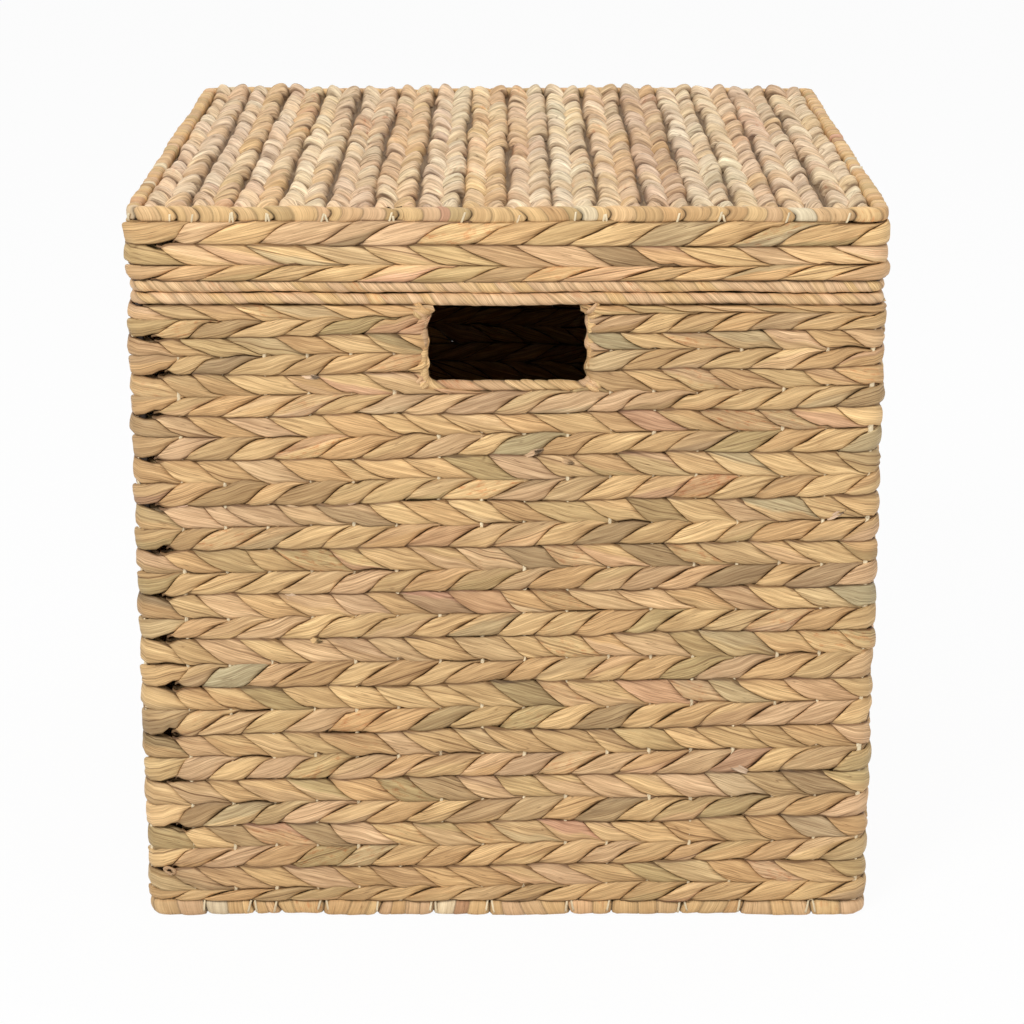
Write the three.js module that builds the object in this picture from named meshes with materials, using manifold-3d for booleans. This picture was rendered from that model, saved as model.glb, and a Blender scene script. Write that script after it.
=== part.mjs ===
// Woven storage trunk: a wire frame covered with twined leaf, and a lid hinged at the back.
// Millimetres, +Z up, the front face towards -Y, the origin under the middle of the base.

import * as THREE from 'three';
import { mergeVertices } from 'three/addons/utils/BufferGeometryUtils.js';
import Module from 'manifold-3d';

const wasm = await Module();
wasm.setup();

// Overall size: the closed trunk over its woven faces
const trunkWidth = 432;
const trunkDepth = 432;
const trunkHeight = 432;
const lidHeight = 49;

// Woven panels: twined rows stand proud as ribs on both faces
const wallThickness = 11;
const rowPitch = 13.1;
const rowRelief = 1.4;
const rowShoulder = 0.25;
const insideCornerRadius = 1;

// Leaf ropes wound on the frame's rods along the edges
const rimRopeDiameter = 7.2;
const topRopeDiameter = 8.4;
const baseEdgeWidth = 9.5;
const baseEdgeHeight = 9.5;
const baseEdgeChamfer = 2.4;
const baseRecess = 1.2;

// Wire frame
const rodDiameter = 4.4;

// Hand holes under the rim, one in the front and one in the back
const handHoleWidth = 91;
const handHoleHeight = 44;
const handRopeDiameter = 6.4;
const handRodDiameter = 3.2;
const handBendRadius = 7;

// Leaf straps that loop round both rims at the back and carry the lid
const hingeLoopWidth = 30;
const hingeLoopThickness = 1.6;
const hingeLoopInset = 96;
const hingeLoopSwing = 1.4;

// Gap between pieces that touch
const fit = 0.3;

// Smoothness
const ropeSides = 12;
const rodSides = 8;
const cornerSteps = 2;
const loopSteps = 10;

// Plan of the frame: every ring follows one rounded rectangle in the middle of the walls
const shell = Math.max(wallThickness, rimRopeDiameter, topRopeDiameter, baseEdgeWidth);
const ringHalfWidth = (trunkWidth - shell) / 2;
const ringHalfDepth = (trunkDepth - shell) / 2;
const ringRadius = insideCornerRadius + shell / 2;

// Heights, from the floor up
const seam = trunkHeight - lidHeight;
const baseRodHeight = baseEdgeHeight / 2;
const wallBottom = baseEdgeHeight + fit;
const bodyRimHeight = seam - fit / 2 - rimRopeDiameter / 2;
const wallTop = bodyRimHeight - rimRopeDiameter / 2 - fit;
const lidRimHeight = seam + fit / 2 + rimRopeDiameter / 2;
const bandBottom = lidRimHeight + rimRopeDiameter / 2 + fit;
const topRopeHeight = trunkHeight - topRopeDiameter / 2;
const bandTop = trunkHeight - topRopeDiameter - fit;
const handHoleBottom = bodyRimHeight - rimRopeDiameter / 2 - handHoleHeight;

// Finishes
const leaf = { color: 0xcfae7c, roughness: 0.85, metalness: 0 };
const paleLeaf = { color: 0xdcc196, roughness: 0.85, metalness: 0 };
const ropeLeaf = { color: 0xc9a673, roughness: 0.8, metalness: 0 };
const iron = { color: 0x4a4642, roughness: 0.55, metalness: 0.9 };

const upward = new THREE.Vector3(0, 0, 1);

function piece(name, geometry, finish) {
  const mesh = new THREE.Mesh(geometry, new THREE.MeshStandardMaterial(finish));
  mesh.name = name;
  return mesh;
}

function toSolid(geometry) {
  const bare = geometry.clone();
  bare.deleteAttribute('normal');
  bare.deleteAttribute('uv');
  const merged = mergeVertices(bare);
  return new wasm.Manifold(new wasm.Mesh({
    numProp: 3,
    vertProperties: new Float32Array(merged.attributes.position.array),
    triVerts: new Uint32Array(merged.index.array),
  }));
}

function toGeometry(solid) {
  const { vertProperties, triVerts } = solid.getMesh();
  const geometry = new THREE.BufferGeometry();
  geometry.setAttribute('position', new THREE.BufferAttribute(vertProperties, 3));
  geometry.setIndex(new THREE.BufferAttribute(triVerts, 1));
  geometry.computeVertexNormals();
  return geometry;
}

// Solids with cutters taken out of them
function cut(solid, cutters) {
  return cutters.reduce((rest, cutter) => rest.subtract(cutter), solid);
}

function circleSection(diameter, sides) {
  return Array.from({ length: sides }, (_, side) => {
    const angle = side / sides * 2 * Math.PI;
    return [diameter / 2 * Math.cos(angle), diameter / 2 * Math.sin(angle)];
  });
}

// Stations on an arc about a centre, each with the way that leads straight out from it
function arcStations(centre, radius, from, towards) {
  return Array.from({ length: cornerSteps + 1 }, (_, step) => {
    const angle = step / cornerSteps * Math.PI / 2;
    const out = from.clone().multiplyScalar(Math.cos(angle)).addScaledVector(towards, Math.sin(angle));
    return { at: centre.clone().addScaledVector(out, radius), out };
  });
}

// Stations round the frame's rounded rectangle, seen from above against the clock
function ringStations(height) {
  const ways = [[1, 0], [0, 1], [-1, 0], [0, -1]].map(([x, y]) => new THREE.Vector3(x, y, 0));
  return ways.flatMap((from, corner) => {
    const towards = ways[(corner + 1) % ways.length];
    const centre = new THREE.Vector3(
      (from.x + towards.x) * (ringHalfWidth - ringRadius),
      (from.y + towards.y) * (ringHalfDepth - ringRadius),
      height,
    );
    return arcStations(centre, ringRadius, from, towards);
  });
}

// A section of [outward, sideways] points carried along flat stations, closed or with end faces
function sweep(section, stations, sideways, closed) {
  const points = stations.flatMap(({ at, out }) => section.map(([u, v]) => (
    at.clone().addScaledVector(out, u).addScaledVector(sideways, v)
  )));
  const count = section.length;
  const index = [];
  const spans = closed ? stations.length : stations.length - 1;
  for (let span = 0; span < spans; span += 1) {
    const here = span * count;
    const next = ((span + 1) % stations.length) * count;
    for (let i = 0; i < count; i += 1) {
      const k = (i + 1) % count;
      index.push(here + i, next + i, next + k, here + i, next + k, here + k);
    }
  }
  if (!closed) {
    const last = (stations.length - 1) * count;
    for (let i = 1; i < count - 1; i += 1) {
      index.push(0, i, i + 1, last, last + i + 1, last + i);
    }
  }
  const geometry = new THREE.BufferGeometry().setFromPoints(points);
  geometry.setIndex(index);
  return geometry;
}

function ring(section, height) {
  return toSolid(sweep(section, ringStations(height), upward, true));
}

function upright(diameter, bottom, top) {
  return new THREE.CylinderGeometry(diameter / 2, diameter / 2, top - bottom, rodSides)
    .rotateX(Math.PI / 2)
    .translate(0, 0, (bottom + top) / 2);
}

// A flat outline in X and Z, made solid along Y about y = 0
function slab(shape, thickness) {
  return new THREE.ExtrudeGeometry(shape, { depth: thickness, bevelEnabled: false, curveSegments: cornerSteps })
    .translate(0, 0, -thickness / 2)
    .rotateX(Math.PI / 2);
}

// Where the corner posts stand
const postX = ringHalfWidth - ringRadius * (1 - Math.SQRT1_2);
const postY = ringHalfDepth - ringRadius * (1 - Math.SQRT1_2);
const corners = { front_left: [-1, -1], front_right: [1, -1], back_right: [1, 1], back_left: [-1, 1] };

// Holes for the four posts of the body or of the lid, which end inside the bores of the ropes
function postHoles(lowRod, highRod) {
  const reach = rodDiameter / 4;
  const hole = upright(rodDiameter + 2 * fit, lowRod + reach, highRod - reach);
  return Object.values(corners).map(([x, y]) => toSolid(hole.clone().translate(x * postX, y * postY, 0)));
}

function cornerPosts(prefix, lowRod, highRod) {
  const seat = rodDiameter / 2 + fit;
  return Object.entries(corners).map(([corner, [x, y]]) => {
    const post = piece(`${prefix}_post_${corner}`, upright(rodDiameter, lowRod + seat, highRod - seat), iron);
    post.position.set(x * postX, y * postY, 0);
    return post;
  });
}

function frameRing(name, height) {
  return piece(name, toGeometry(ring(circleSection(rodDiameter, rodSides), height)), iron);
}

// A leaf rope with a bore for its rod, opened where posts or handle rods run in
function wrappedRing(name, section, height, holes) {
  const bore = ring(circleSection(rodDiameter + 2 * fit, rodSides), height);
  return piece(name, toGeometry(cut(ring(section, height), [bore, ...holes])), ropeLeaf);
}

// The base edge in section: square with its corners taken off, so that it stands flat
function baseEdgeSection() {
  const w = baseEdgeWidth / 2;
  const h = baseEdgeHeight / 2;
  const c = baseEdgeChamfer;
  return [[w, c - h], [w, h - c], [w - c, h], [c - w, h], [-w, h - c], [-w, c - h], [c - w, -h], [w - c, -h]];
}

// A woven panel in section: one face with its rows as ribs, then the other back again
function wovenSection(low, high, thickness) {
  const rows = Math.max(1, Math.round((high - low) / rowPitch));
  const pitch = (high - low) / rows;
  const crest = thickness / 2;
  const valley = crest - rowRelief;
  const face = [];
  for (let row = 0; row < rows; row += 1) {
    const start = low + row * pitch;
    face.push([valley, start], [crest, start + rowShoulder * pitch], [crest, start + (1 - rowShoulder) * pitch]);
  }
  face.push([valley, high]);
  return [...face, ...face.map(([u, v]) => [-u, v]).reverse()];
}

// The ground of one side between the mitres of its two corners, as a prism
function sideRegion(out, bottom, top) {
  const along = new THREE.Vector2(-out.y, out.x);
  const centres = new THREE.Vector2(ringHalfWidth - ringRadius, ringHalfDepth - ringRadius);
  const far = Math.abs(out.x * centres.x + out.y * centres.y);
  const side = Math.abs(along.x * centres.x + along.y * centres.y);
  const mitreGap = fit / 2 * Math.SQRT2;
  const beyond = ringRadius + shell;
  const outline = [
    [side - mitreGap, far],
    [side - mitreGap + beyond, far + beyond],
    [mitreGap - side - beyond, far + beyond],
    [mitreGap - side, far],
  ].map(([s, t]) => along.clone().multiplyScalar(s).addScaledVector(out, t));
  return toSolid(new THREE.ExtrudeGeometry(new THREE.Shape(outline), { depth: top - bottom, bevelEnabled: false })
    .translate(0, 0, bottom));
}

// Four panels round the trunk, each cut free at the mitres and by the cutters of its own side
function wovenPanels(bottom, top, names, holes, cutters) {
  const rows = cut(ring(wovenSection(bottom, top, wallThickness), 0), holes);
  const ways = {
    front: new THREE.Vector2(0, -1),
    back: new THREE.Vector2(0, 1),
    left: new THREE.Vector2(-1, 0),
    right: new THREE.Vector2(1, 0),
  };
  return Object.entries(ways).map(([side, out]) => {
    const panel = rows.intersect(sideRegion(out, bottom - 1, top + 1));
    return piece(names(side), toGeometry(cut(panel, cutters[side] ?? [])), leaf);
  });
}

// A mat with rows that run from front to back, let into the edge that goes round it
function wovenMat(name, bottom, top, edgeWidth, finish) {
  const inset = edgeWidth / 2 + fit;
  const halfWidth = ringHalfWidth - inset;
  const halfDepth = ringHalfDepth - inset;
  const section = wovenSection(-halfWidth, halfWidth, top - bottom).map(([u, v]) => new THREE.Vector2(v, u));
  const rows = slab(new THREE.Shape(section), 2 * halfDepth).translate(0, 0, (bottom + top) / 2);
  const plan = new THREE.Shape();
  const radius = ringRadius - inset;
  plan.absarc(halfWidth - radius, halfDepth - radius, radius, 0, Math.PI / 2);
  plan.absarc(radius - halfWidth, halfDepth - radius, radius, Math.PI / 2, Math.PI);
  plan.absarc(radius - halfWidth, radius - halfDepth, radius, Math.PI, 1.5 * Math.PI);
  plan.absarc(halfWidth - radius, radius - halfDepth, radius, 1.5 * Math.PI, 2 * Math.PI);
  const outline = new THREE.ExtrudeGeometry(plan, {
    depth: top - bottom + 2, bevelEnabled: false, curveSegments: cornerSteps,
  }).translate(0, 0, bottom - 1);
  return piece(name, toGeometry(toSolid(rows).intersect(toSolid(outline))), finish);
}

// The handle's frame: a bent rod down one side of the hand hole, along its foot and up the other
const handRodX = (handHoleWidth + handRopeDiameter) / 2;
const handRodFoot = handHoleBottom - handRopeDiameter / 2;

function handleStations(top) {
  const left = new THREE.Vector3(-1, 0, 0);
  const down = new THREE.Vector3(0, 0, -1);
  const right = new THREE.Vector3(1, 0, 0);
  const bendX = handRodX - handBendRadius;
  const bendZ = handRodFoot + handBendRadius;
  return [
    { at: new THREE.Vector3(-handRodX, 0, top), out: left },
    ...arcStations(new THREE.Vector3(-bendX, 0, bendZ), handBendRadius, left, down),
    ...arcStations(new THREE.Vector3(bendX, 0, bendZ), handBendRadius, down, right),
    { at: new THREE.Vector3(handRodX, 0, top), out: right },
  ];
}

function handleTube(diameter, sides, top) {
  return sweep(circleSection(diameter, sides), handleStations(top), new THREE.Vector3(0, -1, 0), false);
}

function handle(side, y) {
  const rodTop = bodyRimHeight - rodDiameter / 2 - fit;
  const rope = cut(toSolid(handleTube(handRopeDiameter, ropeSides, wallTop)), [
    toSolid(handleTube(handRodDiameter + 2 * fit, rodSides, wallTop + 1)),
  ]);
  const pieces = [
    piece(`${side}_handle_rod`, handleTube(handRodDiameter, rodSides, rodTop), iron),
    piece(`${side}_handle_wrap`, toGeometry(rope), ropeLeaf),
  ];
  pieces.forEach((mesh) => mesh.position.setY(y));
  return pieces;
}

// Holes through the body's rim rope for the ends of both handle rods
function handleRodHoles() {
  const hole = upright(handRodDiameter + 2 * fit, wallTop, bodyRimHeight - rodDiameter / 4);
  return [-1, 1].flatMap((y) => [-1, 1].map((x) => (
    toSolid(hole.clone().translate(x * handRodX, y * ringHalfDepth, 0))
  )));
}

// The opening in a wall that the wrapped handle frame fits into
function handHoleCutter(y) {
  const halfWidth = handRodX + handRopeDiameter / 2 + fit;
  const foot = handRodFoot - handRopeDiameter / 2 - fit;
  const radius = handBendRadius + handRopeDiameter / 2 + fit;
  const outline = new THREE.Shape();
  outline.moveTo(halfWidth, wallTop + 1);
  outline.lineTo(-halfWidth, wallTop + 1);
  outline.absarc(radius - halfWidth, foot + radius, radius, Math.PI, 1.5 * Math.PI);
  outline.absarc(halfWidth - radius, foot + radius, radius, 1.5 * Math.PI, 2 * Math.PI);
  return toSolid(slab(outline, 2 * shell).translate(0, y, 0));
}

// Hinge loops: a flat band round the two rims, which the lid's rim turns in
const hingeX = trunkWidth / 2 - hingeLoopInset;
const loopInner = rimRopeDiameter / 2 + fit;
const loopOuter = loopInner + hingeLoopThickness;

function rimsOutline(path, radius) {
  path.absarc(0, lidRimHeight, radius, 0, Math.PI);
  path.absarc(0, bodyRimHeight, radius, Math.PI, 2 * Math.PI);
  return path;
}

function hingeLoop(name, x) {
  const outline = rimsOutline(new THREE.Shape(), loopOuter);
  outline.holes.push(rimsOutline(new THREE.Path(), loopInner));
  const geometry = new THREE.ExtrudeGeometry(outline, {
    depth: hingeLoopWidth, bevelEnabled: false, curveSegments: loopSteps,
  }).translate(0, 0, -hingeLoopWidth / 2);
  const acrossBack = new THREE.Matrix4().makeBasis(
    new THREE.Vector3(0, 1, 0), new THREE.Vector3(0, 0, 1), new THREE.Vector3(1, 0, 0),
  );
  const loop = piece(name, geometry.applyMatrix4(acrossBack), ropeLeaf);
  loop.position.set(x, ringHalfDepth, 0);
  return loop;
}

// Slots in the back of the body or the lid that the loops pass through
function hingeSlots(bottom, top) {
  const slot = new THREE.BoxGeometry(hingeLoopWidth + 2 * fit, 2 * shell, top - bottom);
  return [-hingeX, hingeX].map((x) => toSolid(slot.clone().translate(x, ringHalfDepth, (bottom + top) / 2)));
}

function trunkBody() {
  const body = new THREE.Group();
  const holes = postHoles(baseRodHeight, bodyRimHeight);
  const rimSection = circleSection(rimRopeDiameter, ropeSides);
  body.add(
    ...wovenPanels(wallBottom, wallTop, (side) => `${side}_wall`, holes, {
      front: [handHoleCutter(-ringHalfDepth)],
      back: [handHoleCutter(ringHalfDepth), ...hingeSlots(bodyRimHeight - loopOuter - fit, wallTop + 1)],
    }),
    wovenMat('base_mat', baseRecess, baseEdgeHeight, baseEdgeWidth, leaf),
    wrappedRing('base_edge_wrap', baseEdgeSection(), baseRodHeight, holes),
    wrappedRing('body_rim_wrap', rimSection, bodyRimHeight, [...holes, ...handleRodHoles()]),
    frameRing('base_rod', baseRodHeight),
    frameRing('body_rim_rod', bodyRimHeight),
    ...cornerPosts('body', baseRodHeight, bodyRimHeight),
    ...handle('front', -ringHalfDepth),
    ...handle('back', ringHalfDepth),
    hingeLoop('hinge_loop_left', -hingeX),
    hingeLoop('hinge_loop_right', hingeX),
  );
  return body;
}

function trunkLid() {
  const lid = new THREE.Group();
  const holes = postHoles(lidRimHeight, topRopeHeight);
  lid.add(
    ...wovenPanels(bandBottom, bandTop, (side) => `lid_${side}_band`, holes, {
      back: hingeSlots(bandBottom - 1, lidRimHeight + loopOuter + hingeLoopSwing),
    }),
    wovenMat('lid_mat', bandTop + fit, trunkHeight, topRopeDiameter, paleLeaf),
    wrappedRing('lid_edge_wrap', circleSection(topRopeDiameter, ropeSides), topRopeHeight, holes),
    wrappedRing('lid_rim_wrap', circleSection(rimRopeDiameter, ropeSides), lidRimHeight, holes),
    frameRing('lid_edge_rod', topRopeHeight),
    frameRing('lid_rim_rod', lidRimHeight),
    ...cornerPosts('lid', lidRimHeight, topRopeHeight),
  );
  return lid;
}

const trunk = new THREE.Group();
trunk.add(trunkBody(), trunkLid());

export default trunk;
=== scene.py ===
import functools
import itertools
import math
from types import SimpleNamespace

import bpy
import numpy as np
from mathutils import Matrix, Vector


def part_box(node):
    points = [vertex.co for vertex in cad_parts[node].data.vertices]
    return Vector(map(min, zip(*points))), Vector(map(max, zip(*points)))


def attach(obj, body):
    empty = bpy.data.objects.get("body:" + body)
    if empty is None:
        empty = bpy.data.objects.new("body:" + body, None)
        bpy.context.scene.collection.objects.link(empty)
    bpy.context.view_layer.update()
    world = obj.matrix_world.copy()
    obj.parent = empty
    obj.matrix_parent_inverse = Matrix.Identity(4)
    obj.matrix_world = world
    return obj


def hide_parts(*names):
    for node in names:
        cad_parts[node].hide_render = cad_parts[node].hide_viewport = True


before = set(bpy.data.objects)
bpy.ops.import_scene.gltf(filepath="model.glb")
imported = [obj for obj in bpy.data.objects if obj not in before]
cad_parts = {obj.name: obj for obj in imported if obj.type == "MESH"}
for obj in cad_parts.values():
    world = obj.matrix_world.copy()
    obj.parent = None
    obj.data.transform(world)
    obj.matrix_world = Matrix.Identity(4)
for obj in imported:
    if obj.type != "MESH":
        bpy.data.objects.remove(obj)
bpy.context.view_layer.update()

# Woven storage trunk: twined leaf over a wire frame. The code below works in millimetres,
# and meshes are written in metres. Heights and widths come from the frame's own boxes.
MM = 0.001
BODY = "trunk_body"
LID = "lid"

# Camera at the photograph's place: focal length and distances of the fit to its corners
SENSOR_WIDTH = 36
LENS = 98.4
CAMERA_SIDE = 2.7
CAMERA_AHEAD = 1535.0
CAMERA_HEIGHT = 744.0
CAMERA_PITCH = 15.59
CAMERA_SHIFT = -0.10

# Counts and measures of the weave. IDS is the range of the leaves' random numbers, and NO_GROOVE
# a distance from a groove at which no painted groove shade darkens the leaf.
STITCHES_PER_SIDE = 17
STITCHES_PER_BAND = 14
MAT_PAIRS = 16
LOOP_STRIPS = 5
PAIR_HEIGHT = 27.4
LOWEST_PAIR_TOP = 32.2
THINNEST_ROW = 2.4
STITCH_JITTER = 2.2
BAND_JITTER = 2.0
BAND_SHIFT = 0.15
AFTER_CORNER = 0.3
BULGE = 0.9
RIPPLE = 0.34
UNDER_ROPE = 0.8
FLOOR_GAP = 0.02
STAKE_RADIUS = 1.25
STAKE_DEPTH = 2.3
TIE_RADIUS = 0.7
ROPE_INSET = 0.2
HANDLE_WRAP = 14.5
HANDLE_SLANT = 10
EDGE_SQUARE = 2.9
LUMPS = 0.3
IDS = 1000
NO_GROOVE = 9.0


def box_mm(node):
    low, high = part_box(node)
    return np.array(low) / MM, np.array(high) / MM


def ring_in(node):
    """Height and radius of the rod that runs round in a node's box."""
    low, high = box_mm(node)
    return (low[2] + high[2]) / 2, (high[2] - low[2]) / 2


def stacked(*parts):
    """Joins coordinates of different shapes into points."""
    return np.stack(np.broadcast_arrays(*parts), axis=-1)


def circle(sides):
    """Angles of a ring's sides."""
    return np.arange(sides) / sides * math.tau


def running(parts):
    """Running totals from 0."""
    return np.concatenate([[0], np.cumsum(parts)])


def new_object(name, data):
    item = bpy.data.objects.new(name, data)
    bpy.context.scene.collection.objects.link(item)
    return item


def smooth(low, high, x):
    t = np.clip((x - low) / (high - low), 0, 1)
    return t * t * (3 - 2 * t)


wall_low, wall_high = box_mm("front_wall")
_, side_high = box_mm("right_wall")
band_low, band_high = box_mm("lid_front_band")
_, rim_high = box_mm("body_rim_wrap")
handle_low, handle_high = box_mm("front_handle_wrap")

HALF_WIDTH = side_high[0]
HALF_DEPTH = -wall_low[1]
RIM_HEIGHT, RIM_RADIUS = ring_in("body_rim_wrap")
LID_RIM_HEIGHT, _ = ring_in("lid_rim_wrap")
EDGE_HEIGHT, EDGE_RADIUS = ring_in("lid_edge_wrap")
BASE_HEIGHT, BASE_RADIUS = ring_in("base_edge_wrap")
RING_X = rim_high[0] - RIM_RADIUS
RING_Y = rim_high[1] - RIM_RADIUS
RING_RADIUS = HALF_WIDTH - RING_X + 1.0
WALL_BOTTOM = wall_low[2]
WALL_TOP = wall_high[2]
HANDLE_RADIUS = (handle_high[1] - handle_low[1]) / 2
HANDLE_X = handle_high[0] - HANDLE_RADIUS
HANDLE_FOOT = handle_low[2] + HANDLE_RADIUS
HANDLE_BEND = 7.0


# The walls' surface, which turns (along, across, out) into points

class Ring:
    """The frame's rounded rectangle, from the front left corner rightwards round the trunk."""

    def __init__(self):
        cx, cy = RING_X - RING_RADIUS, RING_Y - RING_RADIUS
        arc = RING_RADIUS * math.pi / 2
        self.breaks = running([arc / 2, 2 * cx, arc, 2 * cy, arc, 2 * cx, arc, 2 * cy, arc / 2])
        self.turn = np.radians([225, 270, 270, 360, 360, 450, 450, 540, 540, 585])
        self.x = [-cx, -cx, cx, cx, cx, cx, -cx, -cx, -cx, -cx]
        self.y = [-cy, -cy, -cy, -cy, cy, cy, cy, cy, -cy, -cy]
        self.length = self.breaks[-1]

    def place(self, along, across, out):
        s = np.mod(along, self.length)
        turn = np.interp(s, self.breaks, self.turn)
        x = np.interp(s, self.breaks, self.x) + (RING_RADIUS + out) * np.cos(turn)
        y = np.interp(s, self.breaks, self.y) + (RING_RADIUS + out) * np.sin(turn)
        return stacked(x, y, across)


RING = Ring()
PITCH = RING.length / (4 * STITCHES_PER_SIDE)
BAND_PITCH = RING.length / (4 * STITCHES_PER_BAND)


class Skin:
    """Collects closed bodies with their grain, tint, fold and distance to the nearest groove (edge),
    and makes one mesh of them."""

    def __init__(self):
        self.parts, self.corners, self.sizes = [], [], []
        self.count = 0

    def _add(self, points, grain, tint, faces, fold=0.0, edge=NO_GROOVE):
        flat = points.reshape(-1, 3)
        volume = 0.0
        for face in faces:
            p = flat[face]
            for i in range(1, face.shape[1] - 1):
                volume += np.einsum("ij,ij->", p[:, 0], np.cross(p[:, i], p[:, i + 1]))
        for face in faces:
            turned = face if volume > 0 else face[:, ::-1]
            self.corners.append((turned + self.count).ravel())
            self.sizes.append(np.full(len(face), face.shape[1]))
        shape = points.shape[:-1]
        values = [np.broadcast_to(each, shape + (3,)).reshape(-1, 3) for each in (points, grain, tint)]
        values.append(np.broadcast_to(fold, shape + (1,)).reshape(-1, 1))
        values.append(np.broadcast_to(edge, shape).ravel())
        self.parts.append(values)
        self.count += len(flat)

    def tubes(self, points, grain, tint, fold=0.0, edge=NO_GROOVE):
        """Points in (tube, station, side): closed round the side and capped at both ends."""
        tubes, stations, sides = points.shape[:3]
        index = np.arange(tubes * stations * sides).reshape(tubes, stations, sides)
        beside = np.roll(index, -1, 2)
        quads = np.stack([index[:, :-1], index[:, 1:], beside[:, 1:], beside[:, :-1]], axis=-1)
        caps = np.concatenate([index[:, 0], index[:, -1, ::-1]])
        self._add(points, grain, tint, [quads.reshape(-1, 4), caps], fold, edge)

    def ring(self, points, grain, tint, lead=0):
        """Points in (station, side), closed both ways; each side's end meets lead stations on."""
        stations, sides = points.shape[:2]
        index = np.arange(stations * sides).reshape(stations, sides)
        beside = np.concatenate([index[:, 1:], np.roll(index, -lead, 0)[:, :1]], axis=1)
        quads = np.stack([index, np.roll(index, -1, 0), np.roll(beside, -1, 0), beside], axis=-1)
        self._add(points, grain, tint, [quads.reshape(-1, 4)])

    def build(self, name, material, body, slot, nodes=()):
        mesh = bpy.data.meshes.new(name)
        points, grains, tints, folds, edges = (np.concatenate(values) for values in zip(*self.parts))
        points = points.astype(np.float32) * MM
        corners = np.concatenate(self.corners).astype(np.int32)
        sizes = np.concatenate(self.sizes).astype(np.int32)
        mesh.vertices.add(len(points))
        mesh.vertices.foreach_set("co", points.ravel())
        mesh.loops.add(len(corners))
        mesh.loops.foreach_set("vertex_index", corners)
        mesh.polygons.add(len(sizes))
        mesh.polygons.foreach_set("loop_start", running(sizes[:-1]).astype(np.int32))
        mesh.polygons.foreach_set("loop_total", sizes)
        mesh.polygons.foreach_set("use_smooth", np.ones(len(sizes), bool))
        for label, kind, field, values in (
            ("grain", "FLOAT_VECTOR", "vector", grains),
            ("tint", "FLOAT_COLOR", "color", np.concatenate([tints, folds], axis=1)),
            ("edge", "FLOAT", "value", edges),
        ):
            attribute = mesh.attributes.new(label, kind, "POINT")
            attribute.data.foreach_set(field, values.astype(np.float32).ravel())
        mesh.update(calc_edges=True)
        mesh.materials.append(material)
        piece = new_object(name, mesh)
        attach(piece, body)
        if nodes:
            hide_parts(*nodes)


def begin(seed):
    """A piece's random numbers and its empty skin."""
    return np.random.default_rng(seed), Skin()


# Colours of dry leaf, as seen in daylight

def linear(*rgb):
    c = np.array(rgb) / 255
    return np.where(c <= 0.04045, c / 12.92, ((c + 0.055) / 1.055) ** 2.4)


STRAW = linear(224, 186, 131)
TAN = linear(211, 169, 117)
BUFF = linear(217, 178, 135)
OLIVE = linear(190, 162, 112)
DUSK = linear(172, 142, 102)
SAGE = linear(190, 172, 132)
ROSY = linear(210, 160, 126)
UMBER = linear(160, 104, 68)
CREAM = linear(234, 216, 180)
PINK_CREAM = linear(224, 194, 162)

WALL_LEAVES = [
    (STRAW, 0.37), (TAN, 0.25), (BUFF, 0.16), (OLIVE, 0.1), (DUSK, 0.06), (SAGE, 0.03), (ROSY, 0.03)]
BAND_LEAVES = [(colour * 1.13, weight) for colour, weight in WALL_LEAVES]
LID_LEAVES = [
    (PINK_CREAM, 0.34), (CREAM, 0.2), (STRAW, 0.2), (BUFF, 0.16), (SAGE, 0.04), (ROSY, 0.05), (UMBER, 0.01)]
ROPE_LEAVES = [(STRAW, 0.46), (TAN, 0.24), (BUFF, 0.26), (ROSY, 0.02), (OLIVE, 0.02)]
SCRAP_LEAVES = [(PINK_CREAM, 0.3), (STRAW * 1.1, 0.35), (BUFF, 0.15), (ROSY, 0.12), (UMBER, 0.08)]
RIM_LEAVES = [(linear(224, 186, 142), 0.6), (STRAW, 0.3), (BUFF, 0.1), (CREAM, 0.015)]
EDGE_LEAVES = [
    (STRAW, 0.42), (TAN, 0.24), (BUFF, 0.22), (CREAM, 0.04), (OLIVE, 0.05), (ROSY, 0.02), (UMBER, 0.01)]


def pick_tints(palette, count, rng, spread=0.075):
    colours = np.array([colour for colour, _ in palette])
    odds = np.array([weight for _, weight in palette])
    chosen = colours[rng.choice(len(colours), count, p=odds / odds.sum())]
    second = colours[rng.choice(len(colours), count, p=odds / odds.sum())]
    mixed = chosen + (second - chosen) * rng.uniform(0, 0.6, (count, 1))
    return mixed * (1 + rng.normal(0, spread, (count, 1)))


# Leaf strands

def form_of(table, **changes):
    return SimpleNamespace(**{**table, **changes})


# Form of a strand: its points along and across, how far its middle stands out and its ends dive, how
# round it is, how its edges lap over and tuck under, and how far back and how thin it begins
LEAF = dict(
    stations=18, over=11, under=4, middle=3.3, dive=5.0, dive_power=7.0, crown=2.2, lap=1.1, tuck=2.2,
    tilt=0.8, thickness=1.4, ripple=0.15, fold=0.8, margin=0.07, back=(0.62, 1.02), begin=(0.85, 1.6),
    crisp=6.5, pitch=PITCH, row=13.0, reach=1.12)
NOTCH = 0.1
NOTCH_WIDTH = 0.09
END_WIDTH = 0.06
STATION_SPAN = 0.84
TIP_REACH = 1.04
LOWEST_MIDDLE = 1.9
MOUTH_WIDTH = 4.5


def far_edge(t, back_reach, power, dent):
    """A strand's edge towards the tips, from 0 at its start to 1 on the line of the tips."""
    rise = np.clip((-t - NOTCH) / (back_reach - NOTCH), 0, 1)
    return 1 - rise ** power - dent * np.exp(-((t + NOTCH) / NOTCH_WIDTH) ** 2)


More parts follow.
